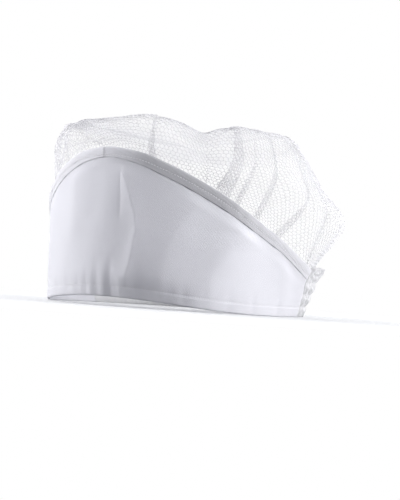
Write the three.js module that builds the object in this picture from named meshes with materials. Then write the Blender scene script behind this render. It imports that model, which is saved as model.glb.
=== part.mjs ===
// Soft catering cap: tall cloth front, bound top edge, puffed net crown and a
// gathered elastic band behind. Millimetres, +Z up, the front faces -Y.
import * as THREE from 'three';

// ---------------------------------------------------------------- dimensions
const RIM_HALF_WIDTH = 80;      // middle of the cloth at the rim, along X
const RIM_HALF_LENGTH = 98;     // the same along Y; the rim is about 560 round
const CENTRE_X = 0.48;          // brings the middle of the whole outline to 0,0
const CENTRE_Y = 14.42;
const GAP = 0.3;                // between neighbouring pieces

const PANEL_THICK = 1.6;        // doubled twill
const PANEL_END_LOW = 104;      // angle of the panel's end at the hem, degrees
const PANEL_END_TOP = 98;       // and at its top corner
const PANEL_END_STEEP = 22;     // height where the end edge becomes upright
const HEM_ARCH = 6;             // how far the hem lifts at the front centre
const HEM_ARCH_END = 75;        // angle where the hem is back on the ground
const BINDING_THICK = 1.0;
const BINDING_INNER_DROP = 6.5; // length of the leg on the inside
const NET_THICK = 1.2;
const NET_TUCK = 7.5;           // how far the net runs down inside the edge
const BAND_INSIDE = 1.0;        // smooth inner face, from the middle of the wall
const BAND_OUTSIDE = 0.6;       // valleys of the gathers on the outer face
const GATHER_DEPTH = 1.9;       // height of a gather
const GATHER_COUNT = 32;
const BAND_LEAN = 0.36;         // outward lean, mm per mm of height
const RUFFLE_FLARE = 2.2;       // how far the band's free top edge bends outward
const HEM_TURN_HEIGHT = 20;     // height over which the wall turns in to the hem
const PUFF = 6;                 // how far the net stands out between creases

// Angles run from the front centre, positive toward +X. Every table has one
// row per section and is read with a smooth curve through its rows.

// top of the bound edge above the rim plane: angle, height
const EDGE = [
  [0, 100], [10, 98.6], [17, 96.6], [25, 92.4], [33, 87.8], [41, 82.4], [48, 77.2], [55, 71.5],
  [61, 66], [68, 60], [75, 54.2], [80, 50], [87, 42.8], [92, 37.5], [98, 32.5], [104, 28],
];
// outward lean of the wall: angle, mm per mm of height
const LEAN = [[0, 0], [40, 0], [60, 0.05], [75, 0.07], [86, 0.16], [98, 0.34], [104, 0.36]];
// how far the hem is drawn in: angle, depth
const HEM_TURN = [[-75, 0], [-40, 0.6], [-15, 1.8], [10, 2.8], [30, 3], [55, 1.6], [80, 0]];
// how far the binding comes down the outside: angle, length
const BINDING_DROP = [[0, 6.5], [20, 8.5], [50, 9.3], [98, 7.5]];
// top of the rear band: angle, height
const BAND_TOP = [[98, 33], [120, 32], [150, 31], [180, 30]];
// soft dents of the panel: angle, half width, depth, lowest and highest share of the height
const DENTS = [
  [4, 3.5, 0.9, 0.45, 1.0],
  [12, 8, -0.7, 0.3, 1.0],
  [-14, 6, 0.6, 0.35, 1.0],
  [3, 2.6, 1.0, -0.1, 0.22],
  [11, 3.2, 1.2, -0.1, 0.26],
  [22, 5, 0.8, -0.1, 0.2],
  [-9, 3.5, 0.8, -0.1, 0.2],
  [49, 9, -1.3, 0.05, 0.9],
];
// net crown, all the way round: angle, then how far out from the rim and how
// high its shoulder, flank, brow and crown are
const NET = [
  [-180, 31, 62, 13, 84, -2, 98, -18, 104],
  [-150, 30, 62, 13, 84, -2, 98.5, -18, 104.5],
  [-118, 25, 65, 10, 86, -3, 102, -17, 109],
  [-90, 10, 75, 5, 91, -3, 106.5, -15, 115],
  [-62, 1.5, 88, 1, 101, -1.5, 110.5, -9, 118],
  [-40, 1.2, 97, 0.5, 106, -4, 113.5, -16, 117.5],
  [-25, 1.5, 103, 0.3, 109, -5, 115.5, -18, 118.5],
  [0, 1.5, 106, 0.3, 111, -5, 116.8, -18, 119.5],
  [8, 1.7, 105.5, 0.2, 112, -5, 119, -17, 120.5],
  [15, 2, 104, 0, 113, -5.5, 121, -18, 121.2],
  [22, 1.6, 101.5, -0.5, 111, -6, 119.6, -18, 120.2],
  [31, 1, 98, -1, 107.5, -6, 116.4, -18, 117.5],
  [42, 0, 92, -2, 102, -7, 111.3, -20, 113.5],
  [50, 1.5, 89, -0.5, 102, -5.5, 114.8, -20, 116],
  [60, 3, 86, 2, 101, -4, 117.2, -18, 118],
  [76, 6.5, 79, 4, 97, -4, 115.4, -18, 118.5],
  [90, 13, 72, 6, 92, -4, 113, -17, 119],
  [106, 20, 67, 9, 87.5, -5, 111.5, -17, 118.5],
  [118, 26, 65, 10, 86, -3.5, 107, -16, 116],
  [150, 30, 62, 13, 84, -2, 101, -18, 109],
  [180, 31, 62, 13, 84, -2, 98, -18, 104],
];
const NET_APEX = [0, 12, 108.5];                 // x, y, z
const NET_STATIONS = [0, 0.09, 0.26, 0.44, 0.6, 0.75, 1]; // shares: base, neck, the four above, apex
// creases of the net: angle where it is gathered in, angle at the shoulder, share of PUFF after it
const CREASES = [
  [-6, -17, 0.8], [19, 19, 0.7], [44, 44, 0.8], [51, 57, 0.9], [56.5, 64, 1], [67.5, 76, 1.1], [78.5, 96, 0.8],
  [97, 108, 0.5], [113, 121, 0.5], [129, 133, 0.7], [145, 147, 1], [160, 161, 1], [177, 176, 1], [193, 192, 1],
  [209, 207, 1], [225, 222, 1], [240, 237, 1], [254, 251, 1], [267, 264, 1], [280, 278, 0.9],
  [294, 292, 0.9], [308, 306, 0.9], [326, 323, 1],
];

// mesh fineness
const PANEL_COLUMNS = 60;
const PANEL_ROWS = [0, 0.14, 0.3, 0.5, 0.705, 0.86, 1];
const BINDING_COLUMNS = 60;
const NET_ROWS = [0, 0.05, 0.09, 0.15, 0.21, 0.27, 0.35, 0.44, 0.53, 0.62, 0.72, 0.85];
const LOBE_STEPS = [0, 0.2, 0.5, 0.8];
const BAND_ROWS = [0, 0.3, 0.6, 0.84, 1];
const GATHER_STEPS = [0, 0.25, 0.5, 0.75];

// -------------------------------------------------------------------- helpers
const rad = (deg) => (deg * Math.PI) / 180;
const clamp = (v, lo, hi) => Math.min(hi, Math.max(lo, v));
const smooth = (a, b, x) => {
  const t = clamp((x - a) / (b - a), 0, 1);
  return t * t * (3 - 2 * t);
};
const fromFront = (deg) => {
  const a = (((deg + 180) % 360) + 360) % 360 - 180;
  return Math.abs(a);
};

// smooth curve through the rows of a table; returns the columns after the first
function read(table, x) {
  const n = table.length;
  const v = clamp(x, table[0][0], table[n - 1][0]);
  let i = 0;
  while (i < n - 2 && v >= table[i + 1][0]) i += 1;
  const slope = (k, c) => {
    if (k <= 0 || k >= n - 1) return 0;
    return (table[k + 1][c] - table[k - 1][c]) / (table[k + 1][0] - table[k - 1][0]);
  };
  const h = table[i + 1][0] - table[i][0];
  const t = (v - table[i][0]) / h;
  const out = [];
  for (let c = 1; c < table[i].length; c += 1) {
    out.push((2 * t ** 3 - 3 * t ** 2 + 1) * table[i][c] + (t ** 3 - 2 * t ** 2 + t) * h * slope(i, c)
      + (-2 * t ** 3 + 3 * t ** 2) * table[i + 1][c] + (t ** 3 - t ** 2) * h * slope(i + 1, c));
  }
  return out;
}
// the same for a table that goes all the way round
function readRound(table, deg) {
  const n = table.length;
  const a = (((deg + 180) % 360) + 360) % 360 - 180;
  const before = [table[n - 2][0] - 360, ...table[n - 2].slice(1)];
  const after = [table[1][0] + 360, ...table[1].slice(1)];
  return read([before, ...table, after], a);
}

// point at an angle, so far out from the rim line, at a height
function at(deg, out, z) {
  const x = RIM_HALF_WIDTH * Math.sin(rad(deg));
  const y = -RIM_HALF_LENGTH * Math.cos(rad(deg));
  const r = Math.hypot(x, y);
  const k = (r + out) / r;
  return [x * k, y * k, z];
}

const edgeHeight = (deg) => read(EDGE, fromFront(deg))[0];
const wallLean = (deg) => read(LEAN, fromFront(deg))[0];
function hemHeight(deg) {
  const a = fromFront(deg);
  return a < HEM_ARCH_END ? HEM_ARCH * Math.cos((Math.PI / 2) * (a / HEM_ARCH_END)) ** 2 : 0;
}
const endAngle = (z) => PANEL_END_LOW + (PANEL_END_TOP - PANEL_END_LOW) * Math.min(1, z / PANEL_END_STEEP);
function dent(deg, share) {
  let d = 0;
  for (const [where, half, depth, low, high] of DENTS) {
    const across = Math.exp(-(((deg - where) / half) ** 2));
    const along = smooth(low, low + 0.15, share) * (1 - smooth(high - 0.12, high, share));
    d -= depth * across * along;
  }
  return d * (1 - smooth(0.72, 0.82, share)); // the bound edge itself is even
}

function meshFrom(name, vertices, triangles, color) {
  const geometry = new THREE.BufferGeometry();
  geometry.setAttribute('position', new THREE.Float32BufferAttribute(vertices.flat(), 3));
  geometry.translate(-CENTRE_X, -CENTRE_Y, 0);
  geometry.setIndex(triangles.flat());
  geometry.computeVertexNormals();
  const mesh = new THREE.Mesh(geometry, new THREE.MeshStandardMaterial({ color, roughness: 0.85 }));
  mesh.name = name;
  return mesh;
}

// Solid strip swept through closed sections of equal length; both ends capped
// by joining each point of the first half of the loop to its partner.
function sweep(name, sections, color) {
  const n = sections[0].length;
  const vertices = sections.flat();
  const triangles = [];
  for (let i = 0; i < sections.length - 1; i += 1) {
    for (let j = 0; j < n; j += 1) {
      const k = (j + 1) % n;
      const a = i * n + j;
      const b = i * n + k;
      const c = (i + 1) * n + k;
      const d = (i + 1) * n + j;
      triangles.push([a, d, b], [b, d, c]);
    }
  }
  const last = (sections.length - 1) * n;
  const half = n / 2;
  for (let j = 0; j < half - 1; j += 1) {
    const a = j;
    const b = j + 1;
    const c = n - 2 - j;
    const d = n - 1 - j;
    triangles.push([a, b, c], [a, c, d]);
    triangles.push([last + a, last + c, last + b], [last + a, last + d, last + c]);
  }
  return meshFrom(name, vertices, triangles, color);
}

// ---------------------------------------------------------------- front panel
function panelSections() {
  const sections = [];
  for (let i = 0; i <= PANEL_COLUMNS; i += 1) {
    const s = (2 * i) / PANEL_COLUMNS - 1;
    const outer = [];
    const inner = [];
    for (const share of PANEL_ROWS) {
      const deg = s * endAngle(share * (edgeHeight(PANEL_END_TOP) - BINDING_THICK - GAP));
      const low = hemHeight(deg);
      const high = edgeHeight(s * PANEL_END_TOP) - BINDING_THICK - GAP;
      const z = low + (high - low) * share;
      const drawnIn = read(HEM_TURN, deg)[0] * (1 - smooth(0, HEM_TURN_HEIGHT, z - low));
      const out = wallLean(deg) * z + dent(deg, share) - drawnIn;
      outer.push(at(deg, out + PANEL_THICK / 2, z));
      inner.push(at(deg, out - PANEL_THICK / 2, z));
    }
    sections.push([...outer, ...inner.reverse()]);
  }
  return sections;
}

// ---------------------------------------------------------------- top binding
function bindingSections() {
  const sections = [];
  const face = PANEL_THICK / 2 + GAP + 0.05;
  const back = face + BINDING_THICK;
  for (let i = 0; i <= BINDING_COLUMNS; i += 1) {
    const deg = ((2 * i) / BINDING_COLUMNS - 1) * PANEL_END_TOP;
    const top = edgeHeight(deg);
    const drop = read(BINDING_DROP, fromFront(deg))[0];
    // outer loop up, over and down inside, then back under the fold
    const over = [
      [back, -drop], [back, -1.0], [0, 0], [-back, -1.0], [-back, -BINDING_INNER_DROP],
    ];
    const under = [
      [face, -drop], [face, -BINDING_THICK - 0.1], [0, -BINDING_THICK], [-face, -BINDING_THICK - 0.1], [-face, -BINDING_INNER_DROP],
    ];
    const place = ([o, dz]) => {
      const z = top + dz;
      return at(deg, wallLean(deg) * z + o, z);
    };
    sections.push([...over.map(place), ...under.reverse().map(place)]);
  }
  return sections;
}

// ------------------------------------------------------------------ net crown
const bandWall = (z) => BAND_LEAN * z;
function netBase(deg) {
  const a = fromFront(deg);
  const w = smooth(98.5, 104, a);
  const edge = edgeHeight(a);
  const bandTop = read(BAND_TOP, a)[0];
  const tuck = -(PANEL_THICK / 2 + GAP + BINDING_THICK + GAP + NET_THICK / 2 + 0.3); // inside the binding
  const low = (edge - NET_TUCK) * (1 - w) + (bandTop - NET_TUCK * 0.7) * w;
  const neck = (edge + 2.2) * (1 - w) + (bandTop + 3) * w;
  const leanHere = wallLean(a) * (1 - w) + BAND_LEAN * w;
  return { low, neck, outLow: leanHere * low + tuck, outNeck: leanHere * neck + tuck - 0.8 * w };
}
function creaseColumns() {
  const columns = [];
  CREASES.forEach((crease, i) => {
    const next = i + 1 < CREASES.length ? CREASES[i + 1] : [CREASES[0][0] + 360, CREASES[0][1] + 360, CREASES[0][2]];
    for (const s of LOBE_STEPS) columns.push({ from: crease, to: next, s });
  });
  return columns;
}
function netPoint(column, t) {
  const k = smooth(0, 0.45, t);
  const a = column.from[0] * (1 - k) + column.from[1] * k;
  const b = column.to[0] * (1 - k) + column.to[1] * k;
  const deg = a + (b - a) * column.s;
  const base = netBase(deg);
  const rows = readRound(NET, deg);
  const ring = (o, z) => at(deg, o, z);
  const stations = [
    ring(base.outLow, base.low), ring(base.outNeck, base.neck), ring(rows[0], rows[1]), ring(rows[2], rows[3]),
    ring(rows[4], rows[5]), ring(rows[6], rows[7]), NET_APEX,
  ];
  const p = read(stations.map((q, i) => [NET_STATIONS[i], ...q]), t);
  const arch = Math.sqrt(Math.sin(Math.PI * column.s) ** 2 + 0.02) - 0.65;
  const reach = smooth(0.05, 0.3, t) * (0.35 + 0.65 * (1 - smooth(0.32, 0.6, t))) * (1 - smooth(0.55, 0.8, t));
  const amount = arch * PUFF * clamp((b - a) / 17, 0.45, 1.4) * column.from[2] * reach;
  const up = 0.9 * smooth(0.2, 0.6, t);
  const n = Math.hypot(1, up);
  const r = Math.hypot(p[0], p[1]) || 1;
  return new THREE.Vector3(p[0] + (p[0] / r) * (amount / n), p[1] + (p[1] / r) * (amount / n), p[2] + (amount * up) / n);
}
function netCrown() {
  const columns = creaseColumns();
  const count = columns.length;
  const grid = NET_ROWS.map((t) => columns.map((c) => netPoint(c, t)));
  const apex = new THREE.Vector3(...NET_APEX);
  const rows = grid.length;
  const normalAt = (i, j) => {
    const along = (i + 1 < rows ? grid[i + 1][j] : apex).clone().sub(grid[Math.max(0, i - 1)][j]);
    const across = grid[i][(j + 1) % count].clone().sub(grid[i][(j + count - 1) % count]);
    return across.cross(along).normalize();
  };
  const vertices = [];
  for (const side of [1, -1]) {
    for (let i = 0; i < rows; i += 1) {
      for (let j = 0; j < count; j += 1) {
        const p = grid[i][j].clone();
        if (i < 2) {
          const r = Math.hypot(p.x, p.y);
          p.x += (p.x / r) * side * (NET_THICK / 2);
          p.y += (p.y / r) * side * (NET_THICK / 2);
        } else p.addScaledVector(normalAt(i, j), side * (NET_THICK / 2));
        vertices.push([p.x, p.y, p.z]);
      }
    }
    vertices.push([apex.x, apex.y, apex.z + side * (NET_THICK / 2)]);
  }
  const shift = rows * count + 1;
  const triangles = [];
  for (let j = 0; j < count; j += 1) {
    const k = (j + 1) % count;
    for (let i = 0; i < rows - 1; i += 1) {
      const a = i * count + j;
      const b = i * count + k;
      const c = (i + 1) * count + k;
      const d = (i + 1) * count + j;
      triangles.push([a, b, c], [a, c, d]);
      triangles.push([shift + a, shift + c, shift + b], [shift + a, shift + d, shift + c]);
    }
    const a = (rows - 1) * count + j;
    const b = (rows - 1) * count + k;
    triangles.push([a, b, rows * count], [shift + a, shift + rows * count, shift + b]);
    triangles.push([j, shift + j, k], [k, shift + j, shift + k]);
  }
  return meshFrom('net_crown', vertices, triangles, 0xf4f4f6);
}

// ------------------------------------------------------------------ rear band
function bandSections() {
  const sections = [];
  const steps = GATHER_COUNT * GATHER_STEPS.length;
  for (let i = 0; i <= steps; i += 1) {
    const s = i / steps;
    const phase = (i % GATHER_STEPS.length) / GATHER_STEPS.length;
    const fold = 0.5 - 0.5 * Math.cos(2 * Math.PI * phase);
    const outer = [];
    const inner = [];
    for (const share of BAND_ROWS) {
      const end = endAngle(share * read(BAND_TOP, PANEL_END_TOP)[0]);
      const margin = (GAP / (rad(1) * RIM_HALF_WIDTH)) * 1.3;
      const first = end + margin;
      const deg = first + (360 - 2 * first) * s;
      const z = read(BAND_TOP, fromFront(deg))[0] * share;
      const puffed = fold * GATHER_DEPTH * (share === 0 ? 0.5 : 1);
      const flare = RUFFLE_FLARE * smooth(0.84, 1, share) * (0.6 + fold);
      outer.push(at(deg, bandWall(z) + BAND_OUTSIDE + puffed + flare, z));
      inner.push(at(deg, bandWall(z) - BAND_INSIDE + flare, z));
    }
    sections.push([...outer, ...inner.reverse()]);
  }
  return sections;
}

const cap = new THREE.Group();
cap.name = 'mesh_hair_cap';
cap.add(sweep('front_panel', panelSections(), 0xf2f2f4));
cap.add(sweep('top_binding', bindingSections(), 0xeeeef1));
cap.add(netCrown());
cap.add(sweep('rear_band', bandSections(), 0xf0f0f2));

export default cap;
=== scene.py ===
"""White catering cap: bound cloth front, knitted net crown, shirred elastic band."""
import math
import bpy
import numpy as np
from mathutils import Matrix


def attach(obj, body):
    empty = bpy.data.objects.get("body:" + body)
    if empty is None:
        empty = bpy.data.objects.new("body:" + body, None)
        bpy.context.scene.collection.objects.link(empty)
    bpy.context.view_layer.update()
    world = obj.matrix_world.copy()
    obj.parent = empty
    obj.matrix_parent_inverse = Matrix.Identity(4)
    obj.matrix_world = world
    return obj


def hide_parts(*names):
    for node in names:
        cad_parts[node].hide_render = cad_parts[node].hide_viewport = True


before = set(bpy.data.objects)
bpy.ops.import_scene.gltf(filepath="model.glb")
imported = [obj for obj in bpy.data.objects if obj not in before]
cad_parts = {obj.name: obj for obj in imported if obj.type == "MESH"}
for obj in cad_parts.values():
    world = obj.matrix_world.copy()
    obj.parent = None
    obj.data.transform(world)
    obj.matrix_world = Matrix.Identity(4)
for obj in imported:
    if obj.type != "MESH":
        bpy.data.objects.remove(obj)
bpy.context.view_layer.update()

# ------------------------------------------------------------------ dimensions
# The same sizes and tables as the construction model, in millimetres. Angles
# are degrees from the front centre, positive toward +X.
HALF_W, HALF_L = 80.0, 98.0
CENTRE = (0.48, 14.42)
PANEL_THICK = 1.6
END_LOW, END_TOP, END_STEEP = 104.0, 98.0, 22.0
HEM_ARCH, HEM_ARCH_END = 6.0, 75.0
BINDING_THICK, GAP = 1.0, 0.3
BINDING_INNER_DROP = 6.5
NET_TUCK = 7.5
BAND_LEAN = 0.36
PUFF = 6.0
HEM_STITCH = 6.5            # height of the hem's stitch line
BIND_STITCH = 5.0           # how far below the edge the binding is stitched

EDGE = np.array([
    [0, 100], [10, 98.6], [17, 96.6], [25, 92.4], [33, 87.8], [41, 82.4], [48, 77.2], [55, 71.5],
    [61, 66], [68, 60], [75, 54.2], [80, 50], [87, 42.8], [92, 37.5], [98, 32.5], [104, 28]], float)
LEAN = np.array([[0, 0], [40, 0], [60, .05], [75, .07], [86, .16], [98, .34], [104, .36]], float)
BINDING_DROP = np.array([[0, 6.5], [20, 8.5], [50, 9.3], [98, 7.5]], float)
BAND_TOP = np.array([[98, 33], [120, 32], [150, 31], [180, 30]], float)
NET = np.array([
    [-180, 31, 62, 13, 84, -2, 98, -18, 104],
    [-150, 30, 62, 13, 84, -2, 98.5, -18, 104.5],
    [-118, 25, 65, 10, 86, -3, 102, -17, 109],
    [-90, 10, 75, 5, 91, -3, 106.5, -15, 115],
    [-62, 1.5, 88, 1, 101, -1.5, 110.5, -9, 118],
    [-40, 1.2, 97, 0.5, 106, -4, 113.5, -16, 117.5],
    [-25, 1.5, 103, 0.3, 109, -5, 115.5, -18, 118.5],
    [0, 1.5, 106, 0.3, 111, -5, 116.8, -18, 119.5],
    [8, 1.7, 105.5, 0.2, 112, -5, 119, -17, 120.5],
    [15, 2, 104, 0, 113, -5.5, 121, -18, 121.2],
    [22, 1.6, 101.5, -0.5, 111, -6, 119.6, -18, 120.2],
    [31, 1, 98, -1, 107.5, -6, 116.4, -18, 117.5],
    [42, 0, 92, -2, 102, -7, 111.3, -20, 113.5],
    [50, 1.5, 89, -0.5, 102, -5.5, 114.8, -20, 116],
    [60, 3, 86, 2, 101, -4, 117.2, -18, 118],
    [76, 6.5, 79, 4, 97, -4, 115.4, -18, 118.5],
    [90, 13, 72, 6, 92, -4, 113, -17, 119],
    [106, 20, 67, 9, 87.5, -5, 111.5, -17, 118.5],
    [118, 26, 65, 10, 86, -3.5, 107, -16, 116],
    [150, 30, 62, 13, 84, -2, 101, -18, 109],
    [180, 31, 62, 13, 84, -2, 98, -18, 104]], float)
APEX = np.array([0.0, 12.0, 108.5])
STATIONS = np.array([0, .09, .26, .44, .6, .75, 1.0])
# angle at the gathering, angle at the shoulder, share of PUFF after it,
# cloth folded over at the gathering (degrees), share of the way up where the
# fold ends, and which side lies on top (1: the side toward larger angles)
CREASES = np.array([
    [-6, -17, .8, 2.8, .6, 1], [19, 19, .8, 5.2, .95, -1], [44, 44, .8, 1.2, .45, 1], [51, 57, .9, 9.2, 1.2, 1],
    [57.5, 65, 1, 3.2, .75, -1], [67.5, 76, 1.1, 4.4, .8, 1], [78.5, 96, .8, 5.0, .9, 1], [97, 108, .5, 2.0, .6, 1],
    [113, 121, .5, 1.0, .35, -1], [129, 133, .7, 2.0, .40, 1], [145, 147, 1, 2.6, .40, -1], [160, 161, 1, 3.2, .45, 1],
    [177, 176, 1, 2.4, .38, 1], [193, 192, 1, 3.0, .42, -1], [209, 207, 1, 2.6, .40, 1], [225, 222, 1, 3.2, .45, 1],
    [240, 237, 1, 2.6, .40, -1], [254, 251, 1, 3.0, .42, 1], [267, 264, 1, 2.4, .40, -1], [280, 278, .9, 3.0, .42, 1],
    [294, 292, .9, 2.0, .40, -1], [308, 306, .9, 2.2, .42, 1], [326, 323, 1, 2.8, .55, -1]], float)

rng = np.random.default_rng(7)


# --------------------------------------------------------------------- curves
def smooth(a, b, x):
    t = np.clip((np.asarray(x, float) - a) / (b - a), 0, 1)
    return t * t * (3 - 2 * t)


def front(deg):
    return np.abs((np.asarray(deg, float) + 180) % 360 - 180)


def read(table, x):
    xs, ys = table[:, 0], table[:, 1:]
    x = np.clip(np.asarray(x, float), xs[0], xs[-1])
    i = np.clip(np.searchsorted(xs, x, side="right") - 1, 0, len(xs) - 2)
    m = np.zeros_like(ys)
    m[1:-1] = (ys[2:] - ys[:-2]) / (xs[2:] - xs[:-2])[:, None]
    h = (xs[i + 1] - xs[i])
    t = ((x - xs[i]) / h)[..., None]
    h = h[..., None]
    return ((2 * t**3 - 3 * t**2 + 1) * ys[i] + (t**3 - 2 * t**2 + t) * h * m[i]
            + (-2 * t**3 + 3 * t**2) * ys[i + 1] + (t**3 - t**2) * h * m[i + 1])


def read_round(table, deg):
    step = np.zeros((1, table.shape[1])); step[0, 0] = 360
    full = np.concatenate([table[-2:-1] - step, table, table[1:2] + step])
    return read(full, (np.asarray(deg, float) + 180) % 360 - 180)


def at(deg, out, z):
    """Point at an angle, so far out from the rim line, at a height (mm)."""
    deg, out, z = np.broadcast_arrays(np.asarray(deg, float), out, z)
    a = np.radians(deg)
    x, y = HALF_W * np.sin(a), -HALF_L * np.cos(a)
    r = np.hypot(x, y)
    k = (r + out) / r
    return np.stack([x * k, y * k, z], -1)


def edge(deg):
    return read(EDGE, front(deg))[..., 0]


def lean(deg):
    return read(LEAN, front(deg))[..., 0]


def hem(deg):
    a = front(deg)
    return np.where(a < HEM_ARCH_END, HEM_ARCH * np.cos(np.pi / 2 * np.minimum(a / HEM_ARCH_END, 1)) ** 2, 0)


def end_angle(z):
    return END_LOW + (END_TOP - END_LOW) * np.minimum(1, z / END_STEEP)


def noise1(x, seed, period=360.0, terms=9, low=2):
    """Smooth periodic noise of about unit size."""
    g = np.random.default_rng(seed)
    out = np.zeros_like(np.asarray(x, float))
    for k in range(low, low + terms):
        out += g.normal() * np.cos(2 * np.pi * k * np.asarray(x) / period + g.uniform(0, 2 * np.pi)) / np.sqrt(terms)
    return out


# ------------------------------------------------------------------ mesh tools
def to_row(p):
    q = np.array(p, float).reshape(-1, 3).copy()
    q[:, 0] -= CENTRE[0]
    q[:, 1] -= CENTRE[1]
    return q / 1000.0


def make(name, points, faces, material, uv=None, smooth_shade=True):
    mesh = bpy.data.meshes.new(name)
    faces = np.asarray(faces)
    n, k = faces.shape
    points = to_row(points)
    mesh.vertices.add(len(points))
    mesh.vertices.foreach_set("co", points.astype(np.float32).ravel())
    mesh.loops.add(n * k)
    mesh.loops.foreach_set("vertex_index", faces.astype(np.int32).ravel())
    mesh.polygons.add(n)
    mesh.polygons.foreach_set("loop_start", (np.arange(n) * k).astype(np.int32))
    mesh.polygons.foreach_set("loop_total", np.full(n, k, np.int32))
    mesh.update(calc_edges=True)
    mesh.validate()
    if uv is not None:
        layer = mesh.uv_layers.new(name="cloth")
        layer.data.foreach_set("uv", np.asarray(uv, np.float32).ravel())
    mesh.polygons.foreach_set("use_smooth", np.full(len(mesh.polygons), smooth_shade))
    mesh.materials.append(material)
    obj = bpy.data.objects.new(name, mesh)
    bpy.context.scene.collection.objects.link(obj)
    return obj


def sweep(name, loops, along, material):
    """Closed solid through loops of points (columns, around, 3), ends capped."""
    c, n = loops.shape[:2]
    idx = np.arange(c * n).reshape(c, n)
    j2 = (np.arange(n) + 1) % n
    a, b = idx[:-1], idx[1:]
    faces = np.stack([a, b, b[:, j2], a[:, j2]], -1).reshape(-1, 4)
    step = np.linalg.norm(np.diff(np.concatenate([loops, loops[:, :1]], 1), axis=1), axis=-1).mean(0)
    v = np.concatenate([[0], np.cumsum(step)])
    U = np.broadcast_to(np.asarray(along, float)[:, None], (c, n))
    u0, u1 = U[:-1], U[1:]
    V0, V1 = np.broadcast_to(v[:-1], (c - 1, n)), np.broadcast_to(v[1:], (c - 1, n))
    uv = np.stack([np.stack([u0, V0], -1), np.stack([u1, V0], -1), np.stack([u1, V1], -1), np.stack([u0, V1], -1)], 2).reshape(-1, 2)
    h = n // 2
    j = np.arange(h - 1)
    caps = np.concatenate([np.stack([idx[0, j], idx[0, j + 1], idx[0, n - 2 - j], idx[0, n - 1 - j]], -1),
                           np.stack([idx[-1, j + 1], idx[-1, j], idx[-1, n - 1 - j], idx[-1, n - 2 - j]], -1)])
    faces = np.concatenate([faces, caps])
    uv = np.concatenate([uv, np.zeros((len(caps) * 4, 2))])
    return make(name, loops.reshape(-1, 3), faces, material, uv)


# -------------------------------------------------------------------- materials
def nodes_of(name):
    m = bpy.data.materials.new(name)
    m.use_nodes = True
    t = m.node_tree
    t.nodes.clear()
    return m, t, lambda kind, **kw: _node(t, kind, **kw)


def _node(tree, kind, **kw):
    n = tree.nodes.new(kind)
    for k, v in kw.items():
        setattr(n, k, v)
    return n


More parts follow.
